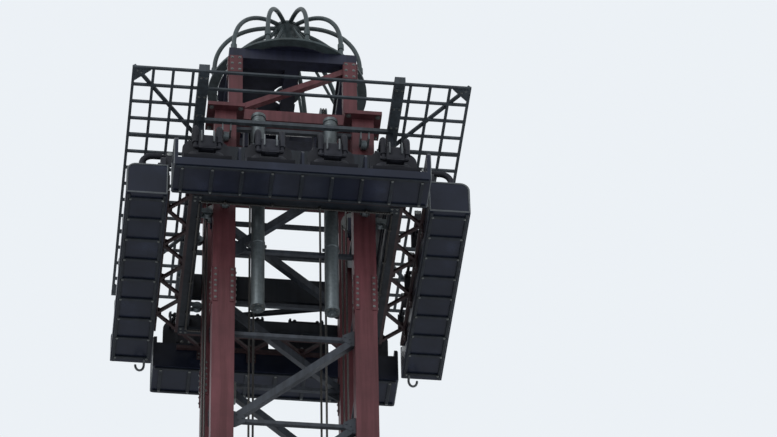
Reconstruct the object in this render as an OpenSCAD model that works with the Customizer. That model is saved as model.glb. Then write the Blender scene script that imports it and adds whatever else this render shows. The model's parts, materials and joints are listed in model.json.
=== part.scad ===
// Shot and drop tower ride, a 1:2 scale model of a tower about 46 m tall.
// Origin on the ground on the mast's axis, Z up, front of the ride facing -Y.
// Every length is the model's own, in millimetres: half of the real one.

/* [Mast] */
// Distance between the axes of two neighbouring mast columns
column_pitch = 890; // [700:5:1100]
// Outer width of a square mast column
column_w = 140; // [100:2:170]
// Wall thickness of a mast column
column_wall = 8; // [4:1:16]
// Height of one lattice bay
bay_h = 710; // [600:5:800]
// Number of lattice bays from the ground to the top of the lattice
bay_count = 30; // [8:1:32]
// Height of the columns above the top lattice level
column_overrun = 450; // [400:5:700]
// Section of a lattice strut
strut_w = 26; // [20:1:40]
// Section of a lattice diagonal
diagonal_w = 46; // [30:1:54]

/* [Foot] */
// Thickness of a column's foot plate
foot_plate_t = 40; // [20:1:60]
// Width of a column's foot plate
foot_plate_w = 340; // [300:5:420]
// Radius of an anchor bolt hole
anchor_hole_r = 14; // [8:1:20]
// Distance between the anchor bolts of one foot, both ways
anchor_pitch = 270; // [230:2:290]
// Width of a base beam between two feet
base_beam_w = 120; // [80:2:160]
// Height of a base beam
base_beam_h = 140; // [100:5:200]

/* [Head] */
// Distance between the axes of two neighbouring head posts
head_pitch = 750; // [650:5:800]
// Outer width of a head post
head_post_w = 90; // [60:2:110]
// Height of the head's posts
head_h = 560; // [520:5:800]
// Height of the head's beams
head_beam_h = 90; // [60:2:120]
// Thickness of the head's deck plate
deck_t = 12; // [6:1:20]
// Radius of a rope sheave
sheave_r = 170; // [120:2:200]
// Thickness of a rope sheave
sheave_t = 40; // [20:1:50]
// Distance between the two rope sheaves
sheave_pitch = 460; // [360:5:520]
// Section of the head's diagonals
head_diagonal_w = 42; // [30:1:60]

/* [Cylinders] */
// Radius of a buffer cylinder
buffer_r = 43; // [30:1:48]
// Length of a buffer cylinder
buffer_len = 1665; // [1200:5:2000]
// Distance between the two buffer cylinders
buffer_pitch = 466; // [360:2:520]

/* [Crown] */
// Number of hoops in the crown
hoop_count = 12; // [6:1:16]
// Radius of the crown's dome
crown_r = 500; // [470:5:560]
// Height of the dome's springing above the crown's ring plate
crown_lift = 110; // [40:5:180]
// Width of the crown's ring plate
crown_ring_w = 60; // [50:2:90]
// Radius of a hoop's tube
hoop_tube_r = 15; // [8:1:22]
// Radius of the crown's hub plate
hub_r = 95; // [70:1:140]
// Turn of the crown about the mast's axis
crown_turn = -5; // [-15:1:15]

/* [Gondola] */
// Height of the gondola's underside above the highest lattice level but one when parked
park_gap = 110; // [60:5:200]
// Distance from the mast's axis to a wing's outer edge
wing_reach = 1085; // [1060:5:1200]
// Depth of a seat wing
wing_depth = 265; // [245:1:300]
// Length of a seat wing
wing_len = 1600; // [1500:10:1660]
// Thickness of a wing's tray
tray_h = 60; // [40:1:80]
// Height of a wing's end panel
panel_h = 255; // [220:5:300]
// Thickness of a wing's end panel
panel_t = 20; // [10:1:30]
// Height of a wing's back wall
back_wall_h = 205; // [190:1:230]
// Distance from the columns' outer faces to the inner face of the lower ring
ring_gap = 75; // [60:1:100]
// Width of a beam of the lower ring
ring_w = 68; // [50:1:90]
// Height of the lower ring's underside above the gondola's underside
ring_z = 150; // [120:1:180]
// Height of a beam of the lower ring
ring_h = 90; // [70:1:110]
// Width of a corner post between the lower ring and the roof
post_w = 38; // [30:1:50]
// Height of the upper side plates' underside above the gondola's underside
upper_z = 420; // [380:5:560]
// Height of an upper side plate
upper_h = 200; // [120:5:240]
// Section of the zigzag bars between ring and wing
zigzag_w = 20; // [14:1:30]
// Number of zigzag bays on a side
zigzag_count = 4; // [3:1:8]

/* [Roof] */
// Height of the roof mesh above the gondola's underside
roof_z = 830; // [800:5:900]
// Distance from the mast's axis to the roof's edge
roof_reach = 1080; // [1000:5:1200]
// Width of the two main roof beams
roof_beam_w = 68; // [50:1:90]
// Height of the two main roof beams
roof_beam_h = 60; // [40:1:90]
// Section of the two cross beams between them
cross_beam_w = 26; // [20:1:50]
// Width of a mesh bar
mesh_w = 18; // [10:1:26]
// Height of a mesh bar
mesh_h = 14; // [10:1:30]
// Distance between the mesh bars beside a main beam
mesh_pitch = 126; // [110:2:150]
// Number of mesh cells from the roof's middle to its edge
half_cells = 7; // [5:1:9]
// Number of mesh cells from the roof's edge to the foot of a corner diagonal
corner_cells = 4; // [2:1:5]

/* [Seats] */
// Width of a seat
seat_w = 300; // [240:2:340]
// Thickness of a seat's pan
pan_t = 50; // [30:1:60]
// Height of a seat's back above the gondola's underside
seat_top = 422; // [380:1:440]
// Thickness of a seat's back
back_t = 32; // [20:1:40]
// Height of a seat's side bolster above the pan
bolster_h = 60; // [30:1:80]

/* [Restraints] */
// Radius of a restraint's tube
arm_r = 13; // [8:1:15]
// Distance between a restraint's two shoulder tubes
arm_pitch = 150; // [130:2:180]
// Reach of a restraint in front of its pivot
arm_reach = 173; // [165:1:190]
// Radius of the bend of a shoulder tube
arm_bend_r = 70; // [50:1:90]
// Height of the lap pad above the gondola's underside
lap_z = 250; // [230:1:270]
// Radius of the pivot shaft
shaft_r = 10; // [8:0.5:14]

/* [Guides] */
// Radius of a guide roller
roller_r = 32; // [24:1:36]
// Width of a guide roller
roller_w = 36; // [24:1:50]
// Running clearance between a guide roller and its column
roller_gap = 0.3; // [0.2:0.1:5]

/* [Hidden] */

// Turn of each side of the ride, for a side modelled facing +X
RIGHT = 0;
BACK = 90;
LEFT = 180;
FRONT = -90;

MAROON = [0.36, 0.13, 0.14];
SLATE = [0.22, 0.28, 0.31];
NAVY = [0.09, 0.10, 0.14];
STEEL = [0.55, 0.57, 0.58];

eps = 0.5;
half_pitch = column_pitch / 2;
column_out = half_pitch + column_w / 2;
column_in = half_pitch - column_w / 2;
lattice_top = bay_h * bay_count;
mast_top = lattice_top + column_overrun;
cap_t = 30;
cap_w = 240;
// Square plate in the middle of the base, with a gap to the corners of the foot plates
foot_gap = 5;
base_plate_w = column_pitch - foot_plate_w - 2 * foot_gap;
head_base = mast_top + cap_t;
head_top = head_base + head_h;
head_half = head_pitch / 2;

// Underside of the gondola when it is parked
park_z = lattice_top - bay_h + park_gap;
wing_in = wing_reach - wing_depth;
ring_in = column_out + ring_gap;
ring_out = ring_in + ring_w;
// Each wing has four seats, counted anticlockwise as seen from above
seat_count = 4;
seat_pitch = (wing_len - panel_t) / seat_count;
seat_in = wing_in + 16;
seat_out = wing_reach - 10;
back_face = seat_in + back_t;
pivot_u = wing_in - 8;
pivot_z = seat_top + 20;
arm_z = pivot_z + 10;
arm_out = pivot_u + arm_reach;

// The lattice lies on the columns' axes, and the buffer cylinders in front of it, inside the ring
cylinder_rim = 5;
running_gap = 3;
cylinder_u = half_pitch + max(strut_w, diagonal_w) / 2 + running_gap + buffer_r;

// The roof's beams stand above the lower ring's
main_beam = ring_in + ring_w / 2;
roof_edge = roof_reach - mesh_w / 2;
mesh_step = roof_edge / half_cells;

module bar(a, b, w, h) {
    // Straight bar of w by h from a to b, two points in one upright plane
    d = b - a;
    len = norm(d);
    run = norm([d.x, d.y]);
    translate(a)
        rotate([0, 0, atan2(d.y, d.x)])
            rotate([0, -atan2(d.z, run), 0])
                translate([0, -w / 2, -h / 2])
                    cube([len, w, h]);
}

module tube_x(len, r) {
    rotate([0, 90, 0])
        cylinder(h = len, r = r, $fn = 24);
}

module tube_y(len, r) {
    rotate([-90, 0, 0])
        cylinder(h = len, r = r, $fn = 24);
}

// Mast

module at_columns() {
    // Repeats its children at the four columns
    for (x = [-1, 1], y = [-1, 1])
        translate([x * half_pitch, y * half_pitch, 0])
            children();
}

module column(sx, sy) {
    // Square tube between its foot plate and its cap
    inner = column_w - 2 * column_wall;
    color(MAROON)
        translate([sx * half_pitch, sy * half_pitch, foot_plate_t])
            difference() {
                translate([-column_w / 2, -column_w / 2, 0])
                    cube([column_w, column_w, mast_top - foot_plate_t]);
                translate([-inner / 2, -inner / 2, -eps])
                    cube([inner, inner, mast_top - foot_plate_t + 2 * eps]);
            }
}

module column_feet() {
    color(MAROON)
        at_columns() {
            foot_plate();
            foot_gussets();
        }
}

module column_caps() {
    color(MAROON)
        at_columns()
            translate([-cap_w / 2, -cap_w / 2, mast_top])
                cube([cap_w, cap_w, cap_t]);
}

module foot_plate() {
    difference() {
        translate([-foot_plate_w / 2, -foot_plate_w / 2, 0])
            cube([foot_plate_w, foot_plate_w, foot_plate_t]);
        for (x = [-1, 1], y = [-1, 1])
            translate([x * anchor_pitch / 2, y * anchor_pitch / 2, -eps])
                cylinder(h = foot_plate_t + 2 * eps, r = anchor_hole_r, $fn = 32);
    }
}

module foot_gussets() {
    // Four upright plates that stiffen the foot, clear of the anchor bolts and the lowest diagonals
    gusset_t = 14;
    gusset_h = base_beam_h;
    reach = (foot_plate_w - column_w) / 2 - 10;
    for (a = [0:90:270])
        rotate([0, 0, a])
            translate([column_w / 2, gusset_t / 2, foot_plate_t])
                rotate([90, 0, 0])
                    linear_extrude(gusset_t)
                        polygon([[0, 0], [reach, 0], [reach, 20], [0, gusset_h]]);
}

// Height of the topmost struts, half a bay above the lattice's last level
top_strut_z = lattice_top + bay_h / 2;
// The bay of the front face that has no diagonal, at the lower ends of the buffer cylinders
open_bay = bay_count - 2;

module lattice(turn, shift, open) {
    // One face of the mast: a strut at each level, and one rising diagonal in each bay but the open one
    color(SLATE)
        rotate([0, 0, turn])
            translate([half_pitch, 0, 0]) {
                lattice_strut(shift > 0 ? shift : top_strut_z);
                for (i = [1:bay_count])
                    lattice_strut(i * bay_h + shift);
                for (i = [0:bay_count - 1])
                    if (i != open)
                        lattice_diagonal(i * bay_h + shift, (i + 1) * bay_h + shift);
            }
}

module lattice_strut(z) {
    translate([-strut_w / 2, -column_in, z - strut_w / 2])
        cube([strut_w, 2 * column_in, strut_w]);
}

module lattice_diagonal(z0, z1) {
    // Bar from one column to the other, cut at both; the lowest one starts above the base
    low = max(z0, foot_plate_t + base_beam_h + strut_w / 2);
    intersection() {
        bar([0, -column_in - strut_w, low - strut_w / 2], [0, column_in + strut_w, z1 + strut_w / 2],
            diagonal_w, diagonal_w);
        translate([-diagonal_w, -column_in, low - strut_w / 2])
            cube([2 * diagonal_w, 2 * column_in, z1 - low + strut_w]);
    }
}

buffer_top = mast_top - 40;

module buffer_cylinders() {
    // Two cylinders in front of the front face's lattice, held by brackets on its three highest struts
    end_t = 24;
    strut_face = half_pitch + strut_w / 2;
    color(STEEL)
        rotate([0, 0, FRONT])
            for (v = [-buffer_pitch / 2, buffer_pitch / 2])
                translate([0, v, 0]) {
                    translate([cylinder_u, 0, buffer_top - buffer_len])
                        cylinder(h = buffer_len, r = buffer_r, $fn = 32);
                    for (z = [buffer_top - buffer_len, buffer_top - end_t])
                        translate([cylinder_u, 0, z])
                            cylinder(h = end_t, r = buffer_r + cylinder_rim, $fn = 32);
                    for (z = [top_strut_z, lattice_top, lattice_top - bay_h])
                        translate([strut_face, -buffer_r / 2, z - strut_w / 2])
                            cube([cylinder_u - strut_face, buffer_r, strut_w]);
                }
}

// Base

module base_frame() {
    // Beams between the feet, a cross of beams and a plate in the middle, flat on the ground
    color(SLATE) {
        side_len = column_pitch - foot_plate_w;
        for (a = [0:90:270])
            rotate([0, 0, a])
                translate([half_pitch - base_beam_w / 2, -side_len / 2, 0])
                    cube([base_beam_w, side_len, base_beam_h]);
        for (a = [0, 90])
            rotate([0, 0, a])
                translate([-half_pitch, -base_beam_w / 2, 0])
                    cube([column_pitch, base_beam_w, base_beam_h]);
        translate([-base_plate_w / 2, -base_plate_w / 2, 0])
            cube([base_plate_w, base_plate_w, foot_plate_t]);
    }
}

// Head

module square_frame(half, w, h) {
    // Square frame of four beams, its beams' axes at half from the middle
    difference() {
        translate([-half - w / 2, -half - w / 2, 0])
            cube([2 * half + w, 2 * half + w, h]);
        translate([-half + w / 2, -half + w / 2, -eps])
            cube([2 * half - w, 2 * half - w, h + 2 * eps]);
    }
}

module head_lower_frame() {
    color(MAROON)
        translate([0, 0, head_base]) {
            square_frame(head_half, head_post_w, head_beam_h);
            translate([-head_half, -head_post_w / 2, 0])
                cube([2 * head_half, head_post_w, head_beam_h]);
        }
}

module head_posts() {
    // Four posts with a diagonal between them on each side
    low = head_base + head_beam_h;
    color(MAROON) {
        for (x = [-1, 1], y = [-1, 1])
            translate([x * head_half - head_post_w / 2, y * head_half - head_post_w / 2, low])
                cube([head_post_w, head_post_w, head_top - low]);
        for (a = [0:90:270])
            rotate([0, 0, a])
                bar([head_half, -head_half, low + head_diagonal_w / 2],
                    [head_half, head_half, head_top - head_diagonal_w / 2], head_diagonal_w, head_diagonal_w);
    }
}

module head_top_frame() {
    color(NAVY)
        translate([0, 0, head_top]) {
            square_frame(head_half, head_post_w, head_beam_h);
            translate([-head_post_w / 2, -head_half, 0])
                cube([head_post_w, 2 * head_half, head_beam_h]);
        }
}

module head_deck() {
    // Round plate on the top frame inside the crown's ring, with a hatch beside the middle beam
    deck_r = crown_r - crown_ring_w / 2 - 8;
    hatch_x = head_post_w / 2 + 15;
    hatch_len = head_pitch - head_post_w - 60;
    color(NAVY)
        translate([0, 0, head_top + head_beam_h])
            difference() {
                cylinder(h = deck_t, r = deck_r, $fn = 96);
                translate([hatch_x, -hatch_len / 2, -eps])
                    cube([head_half - head_post_w / 2 - hatch_x - 15, hatch_len, deck_t + 2 * eps]);
                translate([0, 0, -eps])
                    cylinder(h = deck_t + 2 * eps, r = crown_foot_r + 20, $fn = 48);
            }
}

axle_r = 28;
axle_z = head_base + head_beam_h + sheave_r + 60;

module sheave_carrier() {
    // Bearing plates that stand on the lower frame, and the axle that runs through them
    plate_t = 24;
    plate_w = 150;
    foot_z = head_base + head_beam_h;
    color(NAVY) {
        for (x = [-1, 1], s = [-1, 1]) {
            cx = x * sheave_pitch / 2 + s * (sheave_t / 2 + 14 + plate_t / 2);
            translate([cx - plate_t / 2, -plate_w / 2, foot_z])
                cube([plate_t, plate_w, axle_z - foot_z + axle_r + 30]);
        }
        axle_len = sheave_pitch + sheave_t + 4 * plate_t + 28;
        translate([-axle_len / 2, 0, axle_z])
            tube_x(axle_len, axle_r);
    }
}

module sheaves() {
    color(STEEL)
        for (x = [-sheave_pitch / 2, sheave_pitch / 2])
            translate([x, 0, axle_z])
                rotate([0, 90, 0])
                    sheave();
}

module sheave() {
    groove = 14;
    difference() {
        translate([0, 0, -sheave_t / 2])
            cylinder(h = sheave_t, r = sheave_r, $fn = 64);
        translate([0, 0, -sheave_t / 2 - eps])
            cylinder(h = sheave_t + 2 * eps, r = axle_r + 0.3, $fn = 48);
        rotate_extrude($fn = 64)
            translate([sheave_r, 0])
                circle(r = groove, $fn = 16);
    }
}

// Crown

crown_z = head_top + head_beam_h;
crown_foot_r = 80;
crown_ring_t = 16;
spring_z = crown_z + crown_ring_t + crown_lift;
hub_t = 20;
hub_z = spring_z + crown_r - hub_t;

module crown_post() {
    // Post that carries the hub of the crown, on the top frame's middle beam
    color(SLATE)
        translate([0, 0, crown_z]) {
            cylinder(h = hub_z - crown_z, r = 36, $fn = 32);
            cylinder(h = 16, r = crown_foot_r, $fn = 32);
        }
}

module crown_hoops() {
    // Hub plate, ring plate, and the hoops between them like the ribs of a dome
    color(SLATE) {
        translate([0, 0, hub_z])
            cylinder(h = hub_t, r = hub_r, $fn = 48);
        translate([0, 0, crown_z])
            difference() {
                cylinder(h = crown_ring_t, r = crown_r + crown_ring_w / 2, $fn = 96);
                translate([0, 0, -eps])
                    cylinder(h = crown_ring_t + 2 * eps, r = crown_r - crown_ring_w / 2, $fn = 96);
            }
        for (i = [0:hoop_count - 1])
            rotate([0, 0, (i + 0.5) * 360 / hoop_count + crown_turn])
                crown_hoop();
    }
}

module crown_hoop() {
    // Upright leg on the ring plate, then a quarter circle up to the hub
    translate([0, 0, spring_z])
        rotate([90, 0, 0])
            rotate_extrude(angle = acos(0.7 * hub_r / crown_r), $fn = 96)
                translate([crown_r, 0])
                    circle(r = hoop_tube_r, $fn = 24);
    translate([crown_r, 0, crown_z + crown_ring_t / 2])
        cylinder(h = spring_z - crown_z - crown_ring_t / 2, r = hoop_tube_r, $fn = 24);
}

// Gondola

module side_frame(turn) {
    // Lower ring beam, corner post, upper plate and diagonal of one side
    color(NAVY)
        translate([0, 0, park_z])
            rotate([0, 0, turn]) {
                translate([ring_in, -ring_out, ring_z])
                    cube([ring_w, ring_in + ring_out, ring_h]);
                translate([ring_in, -ring_in - post_w, ring_z + ring_h])
                    cube([post_w, post_w, roof_z - ring_z - ring_h]);
                translate([ring_in, -ring_in, upper_z])
                    cube([post_w, 2 * ring_in, upper_h]);
                intersection() {
                    bar([ring_in + post_w / 2, -ring_in - post_w / 2, upper_z + post_w],
                        [ring_in + post_w / 2, ring_in + post_w, ring_z + ring_h - post_w / 2],
                        post_w * 0.6, post_w * 0.8);
                    translate([ring_in, -ring_in - post_w, ring_z])
                        cube([post_w, 2 * ring_in + post_w, upper_z + upper_h - ring_z]);
                }
            }
}

module outriggers() {
    // Four flat zigzag girders that carry the seat wings from the lower ring
    reach = ring_out - 5;
    color(MAROON)
        translate([0, 0, park_z + ring_z])
            for (turn = [RIGHT, BACK, LEFT, FRONT])
                rotate([0, 0, turn]) {
                    for (rail_u = [ring_out, wing_in - zigzag_w])
                        translate([rail_u, -reach, 0])
                            cube([zigzag_w, 2 * reach, zigzag_h]);
                    for (i = [0:zigzag_count - 1])
                        zigzag(i, 2 * reach / zigzag_count, -reach);
                }
}

zigzag_h = zigzag_w * 1.3;

module zigzag(i, step, v_start) {
    // Two bars that run from the inner rail to one point on the outer rail
    w = zigzag_h;
    margin = 10;
    v0 = v_start + i * step + margin;
    v1 = v_start + (i + 1) * step - margin;
    middle = (v0 + v1) / 2;
    foot_u = ring_out + zigzag_w / 2;
    tip_u = wing_in - zigzag_w / 2;
    slope = (tip_u - foot_u) / (middle - w / 2 - v0);
    translate([0, 0, zigzag_h * 0.1])
        linear_extrude(zigzag_h * 0.8)
            polygon([
                [foot_u, v0], [foot_u, v0 + w],
                [foot_u + slope * (middle - v0 - w), middle],
                [foot_u, v1 - w], [foot_u, v1],
                [tip_u, middle + w / 2], [tip_u, middle - w / 2]
            ]);
}

module seat_tub(turn) {
    // Tray, end panels, dividers and back wall of one seat wing
    corner_r = 60;
    divider_t = 16;
    color(NAVY)
        translate([0, 0, park_z])
            rotate([0, 0, turn]) {
                translate([wing_in, -wing_len / 2, 0])
                    cube([wing_depth, wing_len, tray_h]);
                translate([wing_in, -wing_len / 2, 0])
                    cube([12, wing_len, back_wall_h]);
                for (v = [-wing_len / 2, wing_len / 2 - panel_t])
                    translate([0, v, 0])
                        end_panel(panel_t, panel_h, corner_r);
                for (i = [1:seat_count - 1])
                    translate([0, -wing_len / 2 + panel_t / 2 + i * seat_pitch - divider_t / 2, 0])
                        end_panel(divider_t, back_wall_h, corner_r);
            }
}

module end_panel(t, h, corner_r) {
    translate([wing_in, t, 0])
        rotate([90, 0, 0])
            linear_extrude(t)
                difference() {
                    square([wing_depth, h]);
                    translate([wing_depth - corner_r, h - corner_r])
                        difference() {
                            square([corner_r + eps, corner_r + eps]);
                            circle(r = corner_r, $fn = 48);
                        }
                }
}

function seat_v(i) = (i - (seat_count - 1) / 2) * seat_pitch;

module seats(turn) {
    color(NAVY)
        translate([0, 0, park_z])
            rotate([0, 0, turn])
                for (i = [0:seat_count - 1])
                    translate([0, seat_v(i), 0])
                        seat();
}

module seat() {
    top_r = 80;
    bolster_t = 26;
    difference() {
        translate([seat_in, -seat_w / 2, tray_h])
            cube([seat_out - seat_in, seat_w, pan_t]);
        translate([seat_out - 30, -seat_w / 2 - eps, tray_h + pan_t - 20])
            rotate([0, 45, 0])
                cube([60, seat_w + 2 * eps, 60]);
    }
    translate([seat_in, 0, 0])
        rotate([90, 0, 90])
            linear_extrude(back_t)
                seat_back_outline(top_r);
    for (s = [-1, 1])
        translate([0, s * (arm_pitch / 2 + arm_r + 17), 0])
            pivot_lug();
    for (s = [-1, 1])
        translate([0, s * (seat_w - bolster_t) / 2 + bolster_t / 2, 0])
            rotate([90, 0, 0])
                linear_extrude(bolster_t)
                    polygon([
                        [seat_in, tray_h + pan_t - eps],
                        [seat_out - 70, tray_h + pan_t - eps],
                        [seat_out - 130, tray_h + pan_t + bolster_h],
                        [back_face + 30, tray_h + pan_t + bolster_h + 20],
                        [back_face, seat_top - 130],
                        [seat_in, seat_top - 130]
                    ]);
}

module pivot_lug() {
    // Plate behind the seat's back with the bearing of the restraint's shaft
    t = 14;
    difference() {
        translate([pivot_u - 18, -t / 2, seat_top - 80])
            cube([seat_in - pivot_u + 18, t, pivot_z + 18 - seat_top + 80]);
        translate([pivot_u, -t / 2 - eps, pivot_z])
            tube_y(t + 2 * eps, shaft_r + 0.08);
    }
}

module seat_back_outline(top_r) {
    low = tray_h + pan_t - eps;
    w = seat_w;
    translate([-w / 2, low])
        square([w, seat_top - top_r - low]);
    translate([-w / 2 + top_r, low])
        square([w - 2 * top_r, seat_top - low]);
    for (s = [-1, 1])
        translate([s * (w / 2 - top_r), seat_top - top_r])
            circle(r = top_r, $fn = 48);
}

module restraint(turn, i) {
    // Over-the-shoulder restraint of one seat: two bent tubes, a lap pad and the pivot shaft
    shaft_len = arm_pitch + 80;
    color(NAVY)
        translate([0, 0, park_z])
            rotate([0, 0, turn])
                translate([0, seat_v(i), 0]) {
                    translate([pivot_u, -shaft_len / 2, pivot_z])
                        tube_y(shaft_len, shaft_r);
                    for (s = [-1, 1])
                        translate([0, s * arm_pitch / 2, 0])
                            shoulder_tube();
                    translate([arm_out, -arm_pitch / 2, lap_z])
                        tube_y(arm_pitch, arm_r);
                    translate([arm_out - 26, -arm_pitch / 2 + 20, lap_z - 20])
                        cube([44, arm_pitch - 40, 110]);
                }
}

module shoulder_tube() {
    straight = arm_reach - arm_bend_r;
    translate([pivot_u, 0, pivot_z])
        cylinder(h = arm_z - pivot_z, r = arm_r, $fn = 24);
    translate([pivot_u, 0, arm_z])
        tube_x(straight, arm_r);
    translate([pivot_u, 0, arm_z])
        sphere(r = arm_r, $fn = 24);
    translate([pivot_u + straight, 0, arm_z - arm_bend_r])
        rotate([90, 0, 0])
            rotate_extrude(angle = 90, $fn = 64)
                translate([arm_bend_r, 0])
                    circle(r = arm_r, $fn = 24);
    translate([arm_out, 0, lap_z])
        cylinder(h = arm_z - arm_bend_r - lap_z, r = arm_r, $fn = 24);
    translate([arm_out, 0, lap_z])
        sphere(r = arm_r, $fn = 24);
}

module roof_frame() {
    // Two main beams, two cross beams between them, the edge bars and the corner diagonals on the mesh
    diagonal_foot = roof_edge - corner_cells * mesh_step;
    color(SLATE)
        translate([0, 0, park_z + roof_z]) {
            for (s = [-1, 1]) {
                translate([s * main_beam - roof_beam_w / 2, -roof_reach, 0])
                    cube([roof_beam_w, 2 * roof_reach, roof_beam_h]);
                translate([-main_beam, s * main_beam - cross_beam_w / 2, 0])
                    cube([2 * main_beam, cross_beam_w, cross_beam_w]);
            }
            square_frame(roof_edge, mesh_w, mesh_h);
            for (x = [-1, 1], y = [-1, 1])
                bar([x * main_beam, y * diagonal_foot, mesh_h * 1.5],
                    [x * roof_edge, y * roof_edge, mesh_h * 1.5], mesh_w * 1.3, mesh_h);
        }
}

module guide_rollers() {
    // Rollers on the columns' outer faces, beside the lower ring and under the roof beams
    low_z = ring_z + ring_h / 2;
    high_z = roof_z - roller_r - 14;
    color(STEEL)
        translate([0, 0, park_z])
            for (turn = [RIGHT, BACK, LEFT, FRONT], v = [-1, 1])
                rotate([0, 0, turn])
                    translate([roller_u, v * half_pitch, 0]) {
                        guide_roller(low_z);
                        roller_cheeks(-16, ring_in - roller_u, low_z - 16, low_z + 16);
                        guide_roller(high_z);
                        roller_cheeks(-10, main_beam - roller_u, high_z - 16, roof_z);
                    }
}

roller_u = column_out + roller_gap + roller_r;

module guide_roller(z) {
    // Roller with its axle
    translate([0, -roller_w / 2, z])
        tube_y(roller_w, roller_r);
    translate([0, -roller_w / 2 - 14, z])
        tube_y(roller_w + 28, 9);
}

module roller_cheeks(u0, u1, z0, z1) {
    // Two plates that hold the axle's ends
    for (s = [-1, 1])
        translate([u0, s * (roller_w / 2 + 8) - 4, z0])
            cube([u1 - u0, 8, z1 - z0]);
}

// Inner and outer ends of the mesh bars beside a main beam, and how many bars run along it
mesh_in = main_beam + roof_beam_w / 2;
mesh_out = roof_reach - mesh_w;
long_bars = floor((mesh_out - mesh_w - mesh_in) / mesh_pitch);

module roof_mesh() {
    // Bars both ways beside the main beams, wider at the diagonals' feet, and one across each middle panel
    beam_face = main_beam - roof_beam_w / 2;
    color(SLATE)
        translate([0, 0, park_z + roof_z])
            for (turn = [0, 180])
                rotate([0, 0, turn]) {
                    for (k = [1:long_bars])
                        translate([roof_edge - k * mesh_pitch - mesh_w / 2, -mesh_out, 0])
                            cube([mesh_w, 2 * mesh_out, mesh_h]);
                    for (k = [1 - half_cells:half_cells - 1])
                        mesh_bar(k * mesh_step, abs(k) == half_cells - corner_cells ? mesh_w * 1.5 : mesh_w);
                    translate([-beam_face, roof_edge - mesh_step - mesh_w / 2, 0])
                        cube([2 * beam_face, mesh_w, mesh_h]);
                }
}

module mesh_bar(v, w) {
    translate([mesh_in, v - w / 2, 0])
        cube([mesh_out - mesh_in, w, mesh_h]);
}

base_frame();
column_feet();
column(-1, -1);  // column_front_left
column(1, -1);  // column_front_right
column(-1, 1);  // column_back_left
column(1, 1);  // column_back_right
column_caps();
lattice(FRONT, 0, open_bay);  // lattice_front
lattice(BACK, bay_h / 2, -1);  // lattice_back
lattice(LEFT, 0, -1);  // lattice_left
lattice(RIGHT, 0, -1);  // lattice_right
head_lower_frame();
head_posts();
head_top_frame();
head_deck();
sheave_carrier();
sheaves();
buffer_cylinders();
crown_post();
crown_hoops();
side_frame(FRONT);  // side_frame_front
side_frame(BACK);  // side_frame_back
side_frame(LEFT);  // side_frame_left
side_frame(RIGHT);  // side_frame_right
outriggers();
seat_tub(FRONT);  // seat_tub_front
seat_tub(BACK);  // seat_tub_back
seat_tub(LEFT);  // seat_tub_left
seat_tub(RIGHT);  // seat_tub_right
seats(FRONT);  // seats_front
seats(BACK);  // seats_back
seats(LEFT);  // seats_left
seats(RIGHT);  // seats_right
roof_frame();
roof_mesh();
guide_rollers();
restraint(FRONT, 0);  // restraint_front_1
restraint(FRONT, 1);  // restraint_front_2
restraint(FRONT, 2);  // restraint_front_3
restraint(FRONT, 3);  // restraint_front_4
restraint(BACK, 0);  // restraint_back_1
restraint(BACK, 1);  // restraint_back_2
restraint(BACK, 2);  // restraint_back_3
restraint(BACK, 3);  // restraint_back_4
restraint(LEFT, 0);  // restraint_left_1
restraint(LEFT, 1);  // restraint_left_2
restraint(LEFT, 2);  // restraint_left_3
restraint(LEFT, 3);  // restraint_left_4
restraint(RIGHT, 0);  // restraint_right_1
restraint(RIGHT, 1);  // restraint_right_2
restraint(RIGHT, 2);  // restraint_right_3
restraint(RIGHT, 3);  // restraint_right_4
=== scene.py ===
import json
import math

import bmesh
import bpy
from mathutils import Matrix, Vector


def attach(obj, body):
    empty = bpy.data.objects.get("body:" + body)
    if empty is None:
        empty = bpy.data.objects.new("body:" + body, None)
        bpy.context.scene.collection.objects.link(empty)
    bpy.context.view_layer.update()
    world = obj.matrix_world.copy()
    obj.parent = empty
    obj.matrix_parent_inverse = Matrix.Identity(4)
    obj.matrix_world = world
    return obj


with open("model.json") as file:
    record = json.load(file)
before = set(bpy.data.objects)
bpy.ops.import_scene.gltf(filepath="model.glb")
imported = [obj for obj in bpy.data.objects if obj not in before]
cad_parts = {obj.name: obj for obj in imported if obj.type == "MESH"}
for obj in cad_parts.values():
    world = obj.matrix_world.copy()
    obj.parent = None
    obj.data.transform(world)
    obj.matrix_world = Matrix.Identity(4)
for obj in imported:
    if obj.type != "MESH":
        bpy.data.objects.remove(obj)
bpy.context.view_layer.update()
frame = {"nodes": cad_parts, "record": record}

# Driving dimensions, in metres, the same values as the part's own source
HALF_PITCH = 0.445
COLUMN_W = 0.140
BAY_H = 0.710
BAYS = 30
STRUT_W = 0.026
DIAGONAL_W = 0.046
LATTICE_U = HALF_PITCH
LATTICE_TOP = BAY_H * BAYS
OPEN_BAY = BAYS - 2
COLUMN_IN = HALF_PITCH - COLUMN_W / 2
COLUMN_OUT = HALF_PITCH + COLUMN_W / 2
PARK_GAP = 0.110
PARK_Z = BAY_H * (BAYS - 1) + PARK_GAP
COLUMN_OVERRUN = 0.450
MAST_TOP = LATTICE_TOP + COLUMN_OVERRUN
FOOT_PLATE_T = 0.040
ANCHOR_PITCH = 0.270
BASE_BEAM_H = 0.140
CAP_T = 0.030
HEAD_BASE = MAST_TOP + CAP_T
HEAD_BEAM_H = 0.090
RUNNING_GAP = 0.003
SIDES = {"right": 0, "back": 90, "left": 180, "front": -90}
SEATS = (0, 1, 2, 3)
SEAT_PITCH = 0.395
WING_LEN = 1.600


# Camera

PHOTO_W = 777
FOCAL_PX = 4565
SENSOR_MM = 36
CAMERA_DISTANCE = 29.2
CAMERA_AZIMUTH = math.radians(-5.256)
CAMERA_BELOW = math.radians(42.384)
CAMERA_ROLL = math.radians(0.0765)
AIM_RIGHT = math.radians(1.271)
AIM_UP = math.radians(0.874)


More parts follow.
